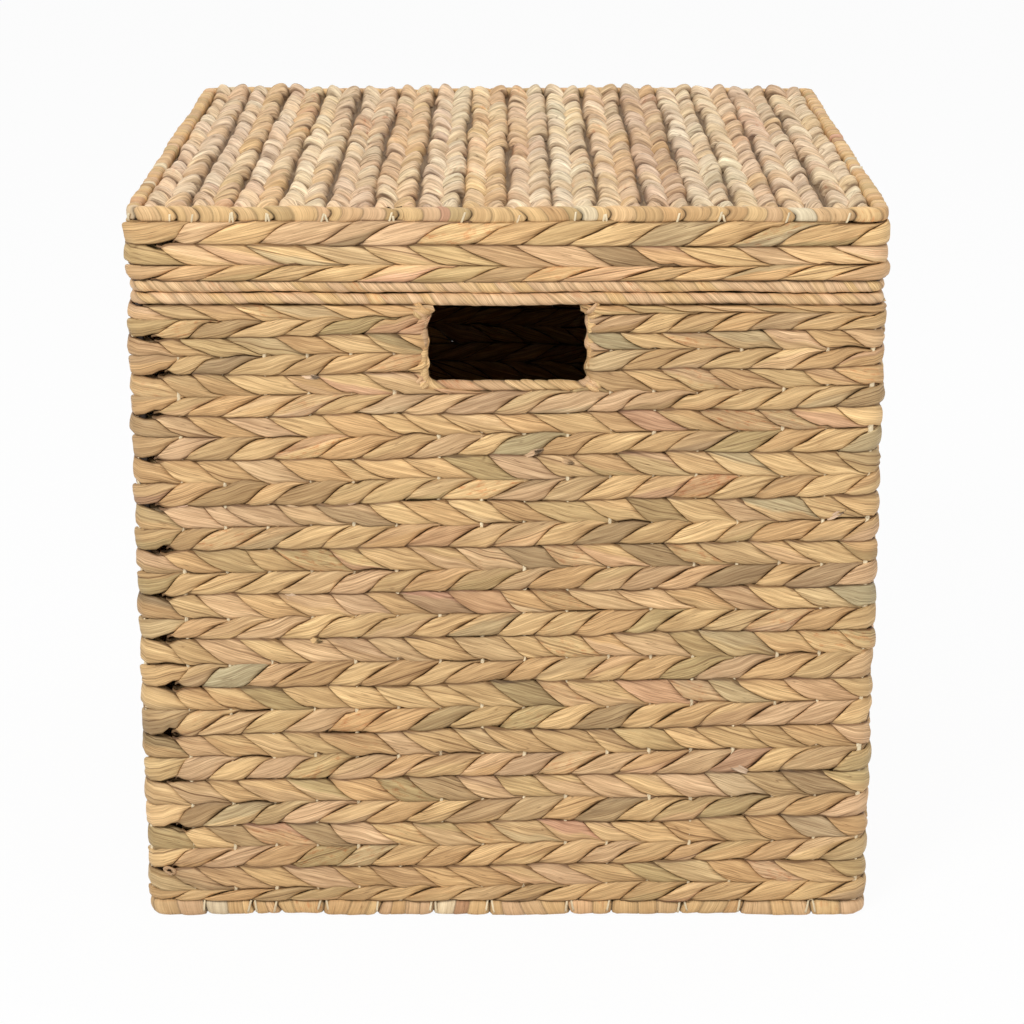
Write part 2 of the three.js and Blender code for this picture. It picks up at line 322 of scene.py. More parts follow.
class Row:
    """Where the strands of a row stand, and the chances that form them: one entry more than is
    built, because each strand's near edge lies under the next strand. The second strand starts
    late, which leaves a small mouth just past the corner."""

    def __init__(self, form, spots, chances, jitter):
        self.centres = spots + (chances[0] - 0.5) * 2 * jitter
        self.back = form.back[0] + (form.back[1] - form.back[0]) * chances[1]
        self.back[1] -= AFTER_CORNER
        self.power = form.begin[0] + (form.begin[1] - form.begin[0]) * chances[2]
        self.dent = np.where(chances[3] < 0.4, 0.08 + 0.3 * chances[3], 0.05 * chances[3])
        self.mouth_at = self.centres[1] - self.back[1] * form.pitch * form.reach
        self.mouth_height = 0.1 + 0.2 * chances[0][1]


def row_chances(key, first, count, next_key):
    """The chances of a stretch of one row, which goes on into the row with the next key."""
    own = np.random.default_rng(key).uniform(0, 1, (4, 4 * count))
    after = np.random.default_rng(next_key).uniform(0, 1, (4, 4 * count))
    return np.concatenate([own, after], axis=1)[:, first:first + count + 1]


def strands(skin, form, palette, rng, row, kept, edges, shape, side):
    """One strand per kept place: it comes up at its thin start, laps over the strand before it and
    dives with its tip under the next. edges(along) gives where its row starts and its tips lie.
    In it t runs along the strand, from its start (below 0) to its tip, w across it, from the row's
    start (-1) to the tips (1), and q from the line where the row starts (0) to that of its tips (1)."""
    def taken(values):
        return values[kept[:-1]][:, None, None]

    centres = taken(row.centres[:-1])
    count = len(centres)
    if not count:
        return
    column = (count, 1, 1)
    span = math.pi / 2 * STATION_SPAN
    v = np.sin(np.linspace(-span, span, form.stations))[:, None]
    v = v / v.max()
    alone = taken(~kept[1:])
    back_reach, power, dent = (taken(values[:-1]) for values in (row.back, row.power, row.dent))
    t = np.where(v < 0, v * back_reach, v * TIP_REACH)
    along = centres + t * form.pitch * form.reach

    # Its edge towards the tips, and that of the next strand, which lies over its other edge
    high = far_edge(t, back_reach, power, dent)
    step = np.where(alone, form.pitch, taken(np.diff(row.centres))) / (form.pitch * form.reach)
    following = [np.where(alone, usual, taken(values[1:])) for values, usual in (
        (row.back, sum(form.back) / 2), (row.power, sum(form.begin) / 2), (row.dent, 0.0))]
    covered = far_edge(t - step, *following)
    mouth = row.mouth_height * np.exp(-((along - row.mouth_at) / MOUTH_WIDTH) ** 2)
    covered = np.maximum(covered, mouth)
    low = np.clip(np.maximum(covered - form.margin, mouth), 0, 1)
    high = high + rng.uniform(-0.03, 0.1, column) * smooth(-0.3, 0.1, t)
    low = low - rng.uniform(-0.02, 0.09, column) * smooth(0.1, -0.3, t)
    half = np.maximum((high - low) / 2, END_WIDTH)
    broad = np.sqrt(np.clip(2 * half, 0, 1))

    # Across the strand: the face, then the back
    face = np.sin(np.linspace(-1, 1, form.over) * math.pi / 2)
    back = np.cos(np.linspace(0, math.pi, form.under + 2)[1:-1])
    w = np.concatenate([face, back])
    is_face = np.arange(len(w)) < form.over
    away = np.abs(v)
    body = np.clip(1 - away ** 4, 0, 1)
    out = form.middle + rng.normal(0, 0.3, column) - form.tilt * t - form.dive * away ** form.dive_power
    out = out + form.lap * smooth(-0.02, -0.4, t) * np.clip(w, 0, 1) * body
    out = out - form.tuck * smooth(0.0, 0.25, t) * np.clip(-w, 0, 1) ** 1.3
    out = np.maximum(out, LOWEST_MIDDLE)
    fold = rng.uniform(-0.6, 0.5, column)
    folded = rng.uniform(0, 1, column) ** 3
    sharpness = 2.6 + (form.crisp - 2.6) * smooth(0.1, -0.25, t) * (w > 0)
    swell = (1 - np.abs(w) ** sharpness) ** 0.55
    crown = form.crown * (0.2 + 0.8 * broad) * rng.uniform(0.8, 1.15, column)
    wobble = np.sin(t * rng.uniform(3, 8, column) + rng.uniform(0, 6, column) + 2.6 * w)
    top = swell * crown + form.ripple * wobble * body * swell
    top = top - folded * form.fold * np.clip(1 - np.abs(w - fold) / 0.3, 0, 1) * body
    bottom = -form.thickness * broad * (1 - np.abs(w) ** 4) ** 0.5
    out = out + np.where(is_face, top, bottom)

    q = (low + high) / 2 + w * half
    q = q + 0.012 * np.sin(t * 9 + rng.uniform(0, 6, column))
    start, tip = edges(along)
    across = start + (tip - start) * q
    if shape:
        along, across, out = shape(along, across, out, centres)
    points = RING.place(along, across, side * out)

    # Fibres run from the start of the leaf to its tip and draw together at both
    run = smooth(-1.2, 1.2, t)
    spread = 0.42 * np.sqrt(np.clip(1.12 - t ** 2, 0, 2)) + 0.12
    fibre = (q - run) / spread * form.row / 2 + 0.25 * np.sin(t * 2.2 + rng.uniform(0, 6, column))
    grain = stacked(t * form.pitch, fibre - fold * form.row / 2, rng.uniform(0, IDS, column))
    tints, partner = (pick_tints(palette, count, rng)[:, None, None] for _ in range(2))
    two_tone = (rng.uniform(0, 1, column) < 0.45) * smooth(-0.05, 0.05, w - fold) * 0.7
    tint = tints + (partner - tints) * two_tone[..., None]
    # Painted shade: darker near a groove, at the edge towards the tips, towards both ends and on the back.
    # The groove is the distance in mm to where the next strand covers this one or to the line of tips; the
    # shader paints a contact shadow near it.
    to_tips = high - q + 3 * smooth(0.0, -0.2, t)
    groove = np.minimum(q - covered, to_tips) * form.row
    painted_shade = (1 - 0.2 * smooth(3.2, 0.0, groove)) * (1 - 0.1 * smooth(0.85, 1.0, w))
    painted_shade = painted_shade * (1 - 0.3 * smooth(0.8, 1.0, away))
    tint = tint * np.where(is_face, painted_shade, 0.6)[..., None]
    skin.tubes(points, grain, tint, folded[..., None], groove)


# Rows of the walls: one pair of rows climbs round the trunk, a pair's height each time round

def ripple_of(seed):
    """Slow waves, which keep a line from being straight."""
    rng = np.random.default_rng(seed)
    waves = rng.uniform(90, 420, 5)
    phases = rng.uniform(0, math.tau, 5)
    return lambda h: RIPPLE * sum(np.sin(h / wave * math.tau + phase) for wave, phase in zip(waves, phases))


pair_line_ripple = ripple_of(11)
tip_line_ripple = ripple_of(12)
DRIFT_AT = [0, 43, 69, 179, 292, 320, 347, 375, 410]
DRIFT = [-1, -2.4, -1.6, 6.4, 5.6, 2.6, -0.6, -7.2, -15]


def row_height(h):
    """Height of a row after h millimetres of spiral: the rows get lower towards the rim."""
    height = LOWEST_PAIR_TOP + PAIR_HEIGHT * h / RING.length
    return height + np.interp(height, DRIFT_AT, DRIFT)


def pair_line(j, along):
    h = j * RING.length + along
    bulge = 0.5 * BULGE * np.sin(h / 47 + 1.3 * j) * np.cos(math.tau * h / PITCH)
    return row_height(h) + pair_line_ripple(h) + bulge


def tip_line(j, along):
    h = (j - 0.5) * RING.length + along
    bulge = BULGE * (0.35 + 0.65 * np.sin(h / 61 + 2.1 * j)) * np.cos(math.tau * (h / PITCH - 0.4))
    return row_height(h) + tip_line_ripple(h) * 0.7 + bulge


HOLE_HALF = HANDLE_X - HANDLE_RADIUS
HOLE_FOOT = HANDLE_FOOT - HANDLE_RADIUS + 1.6
HOLE_KEEP = 0.75 * PITCH
HOLE_CORNER = 5.0
HOLE_BLEND = 2.0
HOLE_SCALLOP = 0.9
HOLE_BORDER = 5.5
FLATTENED = 0.04
HOLE_CENTRES = np.array([RING.length / 8, RING.length * 5 / 8])


def hole_offset(along):
    """Signed distance along the wall from the nearer hand hole's middle."""
    gaps = (np.array(along)[..., None] - HOLE_CENTRES + RING.length / 2) % RING.length - RING.length / 2
    nearest = np.abs(gaps).argmin(axis=-1)
    return np.take_along_axis(gaps, nearest[..., None], axis=-1)[..., 0]


def round_hole(along, across, out, centre):
    """Folds strands that reach into a hand hole round its side rods, or lays them under its foot."""
    own = hole_offset(centre)
    offset = own + along - centre
    above = smooth(HOLE_FOOT - HOLE_BLEND, HOLE_FOOT + HOLE_BLEND, across)
    beside = np.abs(own) > HOLE_HALF - HOLE_KEEP
    depth = HOLE_HALF - offset * np.sign(own)
    rows_up = 2 * (across - LOWEST_PAIR_TOP) / PAIR_HEIGHT
    scallop = HOLE_SCALLOP * np.cos(math.tau * rows_up + 0.4 * np.sign(own))
    to_corner = np.clip(np.minimum(across - HOLE_FOOT, WALL_TOP - 3.0 - across), 0, HOLE_CORNER)
    inset = HOLE_CORNER - np.sqrt(HOLE_CORNER ** 2 - (HOLE_CORNER - to_corner) ** 2)
    swing = (scallop - 0.8 * inset) * np.clip(depth / 4, 0, 1)
    folded = np.sign(own) * (HOLE_HALF - FLATTENED * depth + swing)
    along = along + np.where(beside & (depth > 0), (folded - offset) * above, 0)
    edge = np.clip(1 + np.minimum(depth, 0) / HOLE_BORDER, 0, 1) * beside * above
    out = out * np.sqrt(np.clip(1 - edge ** 2 * 0.97, 0, 1))
    under = (np.abs(offset) < HOLE_HALF) & ~beside & (across > HOLE_FOOT)
    across = np.where(under, HOLE_FOOT + FLATTENED * (across - HOLE_FOOT), across)
    return along, across, out


PAIRS_OF_ROWS = math.ceil((WALL_TOP - LOWEST_PAIR_TOP) / PAIR_HEIGHT) + 3


def wall(name, first, form, side, seed, nodes=()):
    """One wall's face or lining, from the stitch with the number first."""
    rng, skin = begin(seed)
    places = np.arange(first, first + STITCHES_PER_SIDE + 1) * PITCH
    for j, upper in itertools.product(range(-1, PAIRS_OF_ROWS), (True, False)):
        chances = row_chances([77, j + 5, upper], first, STITCHES_PER_SIDE, [77, j + 6, upper])
        row = Row(form, places, chances, STITCH_JITTER)

        def edges(along, j=j, upper=upper):
            lines = pair_line(j if upper else j - 1, along), tip_line(j, along)
            return [np.clip(line, WALL_BOTTOM, WALL_TOP + UNDER_ROPE) for line in lines]

        start, tip = edges(row.centres)
        middle = (start + tip) / 2
        in_hole = (np.abs(hole_offset(row.centres)) < HOLE_HALF - HOLE_KEEP) & (middle > HOLE_FOOT - 3)
        kept = (np.abs(tip - start) > THINNEST_ROW) & ~in_hole
        strands(skin, form, WALL_LEAVES, rng, row, kept, edges, round_hole, side)
    skin.build(name, wall_leaf, BODY, "twined_leaf", nodes)


def stakes(name, first, seed):
    """The cords that the rows are twined round."""
    rng, skin = begin(seed)
    heights = np.linspace(WALL_BOTTOM, WALL_TOP, 40)
    turn = circle(8)
    for k in range(first, first + STITCHES_PER_SIDE):
        along = (k - NOTCH) * PITCH
        in_hole = abs(hole_offset(along)) < HOLE_HALF
        high = HOLE_FOOT - HOLE_BLEND if in_hole else WALL_TOP
        z = heights[heights < high][:, None]
        cord = STAKE_RADIUS * (1 + 0.12 * np.cos(2 * turn + z * 1.4))
        aside = along + cord * np.cos(turn) + 0.2 * np.sin(z / 9 + k)
        out = STAKE_DEPTH + 0.35 * np.sin(z / 17 + 2.3 * k) + cord * np.sin(turn)
        grain = stacked(z, turn * 1.5 + 0.6 * z, k)
        skin.tubes(RING.place(aside, z, out)[None], grain, CREAM * rng.uniform(0.95, 1.15))
    skin.build(name, rope_leaf, BODY, "twined_leaf")


# Ropes: a leaf strip wound round a rod

# Stations across one strip: their share of its width, their lift and their painted shade, darkest at the
# strip's edges, in the step under the next turn
STRIP_PARTS = np.array([0.0, 0.05, 0.2, 0.45, 0.75, 0.93])
STRIP_LIFT = np.array([-0.35, 0.75, 1.0, 0.9, 0.6, 0.1])
STRIP_SHADE = np.array([1.0, 0.1, 0.0, 0.0, 0.05, 0.45])
NECK_SHARP = 0.7
NECK_WIDE = 3.0
BARREL_SWELL = 0.35


def squared(angle, square):
    """A round section's radius made squarer: 2 leaves it round."""
    return (np.abs(np.cos(angle)) ** square + np.abs(np.sin(angle)) ** square) ** (-1 / square)


def wound(skin, path, length, radius, rng, palette, width, strips=0, closed=True, swell=0.5,
          slant=np.zeros_like, sides=16, square=2.0, necks=0, neck_depth=1.3, spread=0.075, step=0.3,
          tip=np.zeros_like):
    """A tube whose stations follow the edges of the leaf strips wound on it, so that each turn has
    a crisp step. With strips, a turn moves on by as many widths; without, the wraps stand straight
    or by their slant. Returns where the rope is drawn in to a neck. In it s is the place along the
    rope and r the distance from its middle."""
    turns = round(length / width)
    starts = running(rng.uniform(0.5, 1.5, turns))
    starts = starts / starts[-1] * length
    per = len(STRIP_PARTS)
    s = (starts[:-1, None] + np.diff(starts)[:, None] * STRIP_PARTS).ravel()
    lift = np.tile(STRIP_LIFT, turns) * swell
    ids = np.repeat(np.arange(turns), per)
    tall = rng.uniform(0.5, 1.3, turns)
    neck = np.zeros(turns, bool)
    drop = barrel = np.zeros(len(s))
    if necks:
        neck[np.cumsum(rng.integers(necks - 1, necks + 2, turns // necks)) % turns] = True
        away = np.abs((s[:, None] - starts[:-1][neck] + length / 2) % length - length / 2).min(axis=1)
        drop = 0.75 * np.exp(-(away / NECK_SHARP) ** 2) + 0.25 * np.exp(-(away / NECK_WIDE) ** 2)
        barrel = rng.uniform(-BARREL_SWELL, BARREL_SWELL, turns + 1)[np.cumsum(neck)[ids]]
    angle = circle(sides) + math.pi
    if strips:
        share = np.arange(sides) / sides
        ahead = np.concatenate([s, s + length])[np.arange(len(s)) + strips * per] - s
        along = s[:, None] + ahead[:, None] * share
        height = tall[ids][:, None] + (np.roll(tall, -strips)[ids] - tall[ids])[:, None] * share
        r = radius + lift[:, None] * height
    else:
        along = s[:, None] + 0.5 * (slant(s)[:, None] * np.cos(angle) + tip(s)[:, None] * np.sin(angle))
        r = radius + (lift * tall[ids] - drop * neck_depth)[:, None]
    r = r + 0.12 * np.sin(along / 3.1 + 2 * angle) + 0.1 * np.sin(along / 1.7 - 3 * angle)
    r = r + LUMPS * np.sin(along / 19 + 0.6 * np.sin(along / 83)) * np.sin(along / 47 + 1)
    r = (r + barrel[:, None]) * squared(angle, square)
    points = path(along, r * np.cos(angle), -r * np.sin(angle))
    leaf = rng.uniform(0, IDS, turns)[ids]
    grain = stacked(angle * radius, (s - starts[ids])[:, None], leaf[:, None])
    tints = pick_tints(palette, turns, rng, spread)
    # Painted shade: each strip darker at its edges, in the step to the next turn, and the rope darker in
    # its necks
    edge = (1 - step * np.tile(STRIP_SHADE, turns)) * (1 - 0.7 * drop ** 2)
    tint = (tints[ids] * edge[:, None])[:, None]
    if closed:
        skin.ring(points, grain, tint, per * strips)
    else:
        skin.tubes(points[None], grain, tint)
    return starts[:-1][neck]


def ties(skin, path, spots, radius, low_turn, high_turn, rng):
    """Thin cords over part of a rope, one or two at each neck, leaning apart."""
    section = circle(6)
    for spot in spots:
        for lean in (-1, 1)[:rng.integers(1, 3)]:
            turn = np.radians(np.linspace(low_turn, high_turn, 10) + rng.uniform(-12, 12))
            share = np.linspace(0, 1, 10)
            centre = spot + lean * (0.3 + 3.2 * share * rng.uniform(0.2, 1.2))
            out = radius * squared(turn, EDGE_SQUARE)
            r = out[:, None] + 0.1 + TIE_RADIUS * np.sin(section) * (1 - 0.6 * share[:, None] ** 4)
            along = centre[:, None] + TIE_RADIUS * np.cos(section)
            points = path(along, r * np.cos(turn)[:, None], -r * np.sin(turn)[:, None])
            grain = stacked((turn * radius)[:, None], section, spot)
            skin.tubes(points[None], grain, CREAM * rng.uniform(0.95, 1.1))


def ring_path(height):
    def path(along, out, up):
        wave = 0.25 * np.sin(along / 37) + 0.2 * np.sin(along / 13 + 1)
        return RING.place(along, np.maximum(height + up + wave, FLOOR_GAP), out)
    return path


def rope_ring(name, height, radius, body, nodes, seed, width):
    """A rim's rope, of two strips wound side by side."""
    rng, skin = begin(seed)
    wound(skin, ring_path(height), RING.length, radius, rng, RIM_LEAVES, width, strips=2, swell=0.16,
          spread=0.035, step=0.26)
    skin.build(name, rope_leaf, body, "leaf_rope", nodes)


def lean_of(s):
    """How far a binding's wraps lean, which changes slowly along the edge."""
    turn = math.tau * s / RING.length
    return 3.2 * np.sin(turn * 9) + 2.2 * np.sin(turn * 23 + 1)


def slant_of_sides(s):
    """How far the lid edge's wraps slant: along the left and right sides only."""
    return 7 * smooth(0.45, 0.55, np.abs((s / RING.length * 2 - 0.25) % 1 - 0.5) * 2)


def barrel_ring(name, height, radius, body, nodes, seed, width, low_turn, high_turn,
                slant=np.zeros_like):
    """An edge bound with flat straight wraps, drawn in by cords every few wraps. The cords cross the
    part of its section from low_turn to high_turn degrees."""
    rng, skin = begin(seed)
    path = ring_path(height)
    spots = wound(skin, path, RING.length, radius, rng, EDGE_LEAVES, width, swell=0.22, slant=slant,
                  sides=20, square=EDGE_SQUARE, necks=3, neck_depth=1.9, spread=0.055, tip=lean_of)
    ties(skin, path, spots, radius, low_turn, high_turn, rng)
    skin.build(name, edge_leaf, body, "leaf_rope", nodes)


def handle_path(y, flip):
    """The bent rod's route: down the left of the hole, along its foot and up the right."""
    down = WALL_TOP - HANDLE_FOOT - HANDLE_BEND
    arc = HANDLE_BEND * math.pi / 2
    across = 2 * (HANDLE_X - HANDLE_BEND)
    breaks = running([down, arc, across, arc, down])
    turn = np.radians([180, 180, 270, 270, 360, 360])
    xs = np.array([-1, -1, -1, 1, 1, 1]) * (HANDLE_X - HANDLE_BEND)
    zs = [WALL_TOP] + 4 * [HANDLE_FOOT + HANDLE_BEND] + [WALL_TOP]

    def path(along, out, up):
        angle = np.interp(along, breaks, turn)
        x = np.interp(along, breaks, xs) + (HANDLE_BEND + out) * np.cos(angle)
        z = np.interp(along, breaks, zs) + (HANDLE_BEND + out) * np.sin(angle)
        return np.stack([flip * x, y - flip * up, z], axis=-1)

    return path, breaks[-1]


def handle(name, y, flip, nodes, seed):
    """The rope round the rod at a hand hole's sides and foot."""
    rng, skin = begin(seed)
    path, length = handle_path(y, flip)
    wound(skin, path, length, HANDLE_RADIUS - ROPE_INSET, rng, ROPE_LEAVES, HANDLE_WRAP, closed=False,
          slant=lambda s: HANDLE_SLANT * smooth(30, 60, s) * smooth(length - 30, length - 60, s), swell=0.6)
    skin.build(name, rope_leaf, BODY, "leaf_rope", nodes)


# Loose ends of leaf between the rows, and the knots at the corners of a hand hole. The ends that the
# photo shows are given by place along the wall from its middle, height and heading.

FRONT_ENDS = [
    (-141, 363, 0.2), (184, 250, 0.5), (132, 202, -0.7), (9, 288, 0.3), (30, 286, -0.3), (53, 283, 0.4)]
CORNER_CURL = (-201.5, 29.5)
NEAR_HOLE = 12


def curl_of_leaf(skin, along, height, rng):
    """A leaf's end curled into a small ring."""
    turn = circle(18)[:, None]
    section = circle(10)
    thick = 1.05 + 0.3 * np.sin(3 * turn + 1)
    r = 2.5 + 0.4 * np.cos(2 * turn + 1) + thick * np.cos(section)
    out = 4.4 + thick * np.sin(section) + 0.7 * np.cos(turn)
    points = RING.place(along + r * np.cos(turn), height + 0.85 * r * np.sin(turn), out)
    grain = stacked(turn * 3, 2 * thick * np.sin(section), rng.uniform(0, IDS))
    skin.ring(points, grain, BUFF * 0.72)


def scraps(name, first, seed, count, known=()):
    """Short torn ends that stick out of the lines between the rows of one wall."""
    rng, skin = begin(seed)
    stations = np.linspace(0, 1, 7)[:, None]
    section = circle(10)
    for k in range(count + len(known)):
        along = (first + rng.uniform(0.6, STITCHES_PER_SIDE - 0.4)) * PITCH
        line = pair_line(rng.integers(0, 12), along)
        if k < len(known):
            along, line = HOLE_CENTRES[0] + known[k][0], known[k][1]
        if abs(hole_offset(along)) < HOLE_HALF + NEAR_HOLE and line > HOLE_FOOT - NEAR_HOLE:
            continue
        heading = rng.uniform(-0.5, 0.5) + (math.pi if rng.uniform() < 0.3 else 0)
        if k < len(known):
            heading = known[k][2]
        length, half, curl = rng.uniform(6, 13), rng.uniform(1.4, 3.0), rng.uniform(0.3, 1.3)
        ragged = 1 + 0.35 * np.sin(4 * section + rng.uniform(0, 6)) * stations ** 2
        run = length * stations * ragged
        aside = half * (0.5 + 0.6 * stations) * (1 - 0.93 * stations ** 4) * np.cos(section) * ragged
        lift = 3.9 + curl * np.sin(math.pi * 0.9 * stations)
        lift = lift + 0.3 * np.sin(section) + 0.3 * np.cos(2 * section)
        place = along + run * math.cos(heading) - aside * math.sin(heading)
        height = line + run * math.sin(heading) + aside * math.cos(heading)
        grain = stacked(run, aside * 1.5, rng.uniform(0, IDS))
        tint = pick_tints(SCRAP_LEAVES, 1, rng)[0] * (1 - 0.2 * stations ** 3)[..., None]
        skin.tubes(RING.place(place, height, lift)[None], grain, tint)
    if known:
        curl_of_leaf(skin, HOLE_CENTRES[0] + CORNER_CURL[0], CORNER_CURL[1], rng)
    skin.build(name, rope_leaf, BODY, "twined_leaf")


def knots(name, y, flip, seed):
    """A few turns of leaf bound round each corner of a hand hole's border."""
    rng, skin = begin(seed)
    turn = circle(18)[:, None]
    section = circle(10)
    for side in (-1, 1):
        for height, lean in ((WALL_TOP - 2.5, 0.7), (HANDLE_FOOT + 1.5, -0.6)):
            for k in range(4):
                tilt = lean * side + rng.normal(0, 0.2)
                radius = HANDLE_RADIUS + 1.1 + rng.uniform(-0.2, 0.5)
                radius = radius + 0.35 * np.cos(2 * turn + rng.uniform(0, 6))
                tube = 1.0 + 0.25 * np.sin(3 * turn + rng.uniform(0, 6))
                out = (radius + tube * np.cos(section)) * np.cos(turn)
                over = (radius + tube * np.cos(section)) * np.sin(turn)
                shift = (k - 1.5) * 1.5 + 1.3 * tube * np.sin(section)
                x = side * (HANDLE_X + 1.0) + over * math.cos(tilt) - shift * math.sin(tilt)
                z = height + over * math.sin(tilt) + shift * math.cos(tilt)
                grain = stacked(turn * 5, shift * 1.6, rng.uniform(0, IDS))
                skin.ring(stacked(flip * x, y - flip * out, z), grain, pick_tints(ROPE_LEAVES, 1, rng)[0])
    skin.build(name, rope_leaf, BODY, "leaf_rope")


# Mats: rows twined from back to front, in pairs whose tips point to the front

def deck_at(height):
    """A level surface: along runs from back to front, across from left to right."""
    return lambda along, across, out: stacked(across, -along, height + out)


# Form of a mat's stitch, an arched bundle of leaf from the gap beside its pair to the crease
PLUMP = dict(
    stations=14, sides=30, thick=6.0, arch=5.2, crease=1.6, lean=19.0, tilt=1.6, ridges=0.06, pitch=26.0,
    edge=-0.6, sink=1.3, shift=0.0, lowest=-1.75, reach=0.6, over_back=5.0, back_rise=2.4, point=2.2)
PEAK = 0.22
PAST_CREASE = 2.4
RUN_ON = 13.0
CORE_LOW = -2.3
CORE_HIGH = -1.5
# The core's tan is darkened to a third, as painted shade
CORE_SHADE = 0.3
# A half pair's own share of its stitches' colours, and the two halves' painted light and shade: the left
# half of each pair painted lighter and the right half darker, as light from the left would fall on them
OWN_TONE = 0.45
PAINTED_LIGHT_HALF = np.array([1.11, 1.14, 1.19])
PAINTED_SHADE_HALF = np.array([0.94, 0.91, 0.87])


def plump_row(skin, place, form, palette, rng, middle, outer, limit, side):
    """Stitches one after the other along half a pair, from x = middle + outer to its crease. In it s
    runs along a stitch, from its outer end (-1) to the crease (1), and a is the angle round it."""
    count = round((2 * limit + RUN_ON) / form.pitch)
    lengths = rng.uniform(0.5, 1.5, count)
    lengths = lengths / lengths.sum() * (2 * limit + RUN_ON)
    centre = (np.cumsum(lengths) - lengths / 2 - limit)[:, None, None]
    own = lengths[:, None, None]
    column = (count, 1, 1)
    s = (np.sin(np.linspace(-1, 1, form.stations) * 1.45) / math.sin(1.45))[:, None]
    a = circle(form.sides) - math.pi / 2
    ends = np.sqrt(1 - 0.97 * np.abs(s) ** np.where(s < 0, 4.5, 3.0))
    pointed = np.sqrt(1 - 0.97 * np.abs(s) ** np.where(s < 0, form.point, 3.0)) / ends
    fan = 1 - 0.4 * smooth(-0.3, 1.0, s)
    phase = rng.uniform(0, math.tau, (4,) + column)
    r = np.cos(9 * a + phase[0] + 1.3 * s) + 0.7 * np.cos(13 * a + phase[1] - s)
    r = (1 + form.ridges * r) * (1 + 0.05 * np.cos(3 * a + phase[2] + s)) * ends
    beside = form.reach * own * fan * pointed * r * np.cos(a)
    along = centre + form.lean * (0.5 * s - 0.14 * (1 - s * s)) * rng.uniform(0.7, 1.3, column) + beside
    past = s + PEAK
    behind = form.arch * (np.abs(past) / (1 - PEAK)) ** 2.2
    depth = np.where(past < 0, behind, form.crease * (past / (1 + PEAK)) ** 2)
    flat = np.where(np.sin(a) < 0, 0.4, 1.0)
    size = rng.uniform(0.86, 1.1, column)
    out = rng.normal(0, 0.075 * form.thick, column) - form.sink - depth
    out = out + form.thick * size * r * np.sin(a) * flat - form.tilt * np.cos(a) * ends
    out = out - 2.0 * smooth(limit - 8, limit, along) ** 2
    out = out + form.back_rise * smooth(-limit + 25, -limit, along)
    out = np.maximum(out, form.lowest + 0.3 * np.cos(a))
    along = np.clip(along, -limit - form.over_back, limit)
    inward = (1 - s) / 2
    sway = 0.7 * np.sin(along / 43 + phase[3][0]) + 0.5 * rng.normal(0, 1, column)
    part = np.sign(outer)
    outer = outer * rng.uniform(0.93, 1.08, column)
    across = middle + (outer + sway) * inward - part * PAST_CREASE * (1 - inward)
    points = place(along, across, side * out)
    grain = stacked(s * 12, a * 2.6 + 0.5 * s, rng.uniform(0, IDS, column))
    # Painted light and shade: the pair's left half lighter, its right half darker
    shared = OWN_TONE * pick_tints(palette, 1, rng, 0.04)[0] * (PAINTED_LIGHT_HALF if part < 0 else PAINTED_SHADE_HALF)
    tints, partner = (
        ((1 - OWN_TONE) * pick_tints(palette, count, rng) + shared)[:, None, None] for _ in range(2))
    band = smooth(-0.3, 0.4, np.cos(2 * a + phase[1] + s))[..., None]
    # Painted shade: darker at the outer end in the gap, towards the nearer stitch that laps over it, and on
    # the underside
    painted_shade = (1 - 0.45 * smooth(0.6, 1.0, -s)) * (1 - 0.3 * smooth(0.15, 0.42, beside / own))
    painted_shade = painted_shade * (1 - 0.3 * smooth(0.1, -0.5, np.sin(a)))
    tint = (tints + (partner - tints) * 0.55 * band) * painted_shade[..., None]
    # Distance to the nearer stitch's lap and to the outer end, near which the shader paints a contact
    # shadow; on the far side it is pushed out of reach except near the outer end
    groove = np.minimum((0.4 * own - beside) * 0.25, (s + 1) * 2.6)
    groove = groove + 9 * smooth(-0.2, -0.6, np.cos(a)) * (s > -0.5)
    skin.tubes(points, grain, tint, 0.0, groove)


def core(skin, place, half, limit):
    """A sheet in the middle of a mat, which shows between its stitches; its dark colour is painted shade
    for the deep gaps.
    """
    x = np.linspace(-half, half, 66)
    y = np.linspace(-limit, limit, 50)[:, None]
    wave = 0.1 * np.sin(x / 3.3 + y / 9) + 0.1 * np.sin(y / 4.1 - x / 7)
    across = np.concatenate([x, x[::-1]])
    out = np.concatenate([CORE_HIGH + wave, CORE_LOW + wave[:, ::-1]], axis=1)
    skin.tubes(place(y, across, out)[None], stacked(y, across, 0), TAN * CORE_SHADE)


def mat(name, form, seed, pairs, node, palette, material, body, slot, side=1, replaced=()):
    """Pairs of rows between the mat's edges, each pair with its crease in its middle."""
    rng, skin = begin(seed)
    low, high = box_mm(node)
    place = deck_at((low[2] + high[2]) / 2)
    half, limit = high[0], high[1] + 0.6
    step = 2 * half / MAT_PAIRS
    for pair in pairs:
        middle = -half + (pair + 0.5 + form.shift) * step + rng.normal(0, 0.4)
        for part in (-1, 1):
            if abs(middle + part * step / 2) < half + 2:
                outer = part * (step / 2 - form.edge)
                plump_row(skin, place, form, palette, rng, middle, outer, limit, side)
    if side < 0:
        core(skin, place, half - 0.5, limit - 1)
    skin.build(name, material, body, slot, replaced)


# Hinge loops: leaf strips wound round both rims

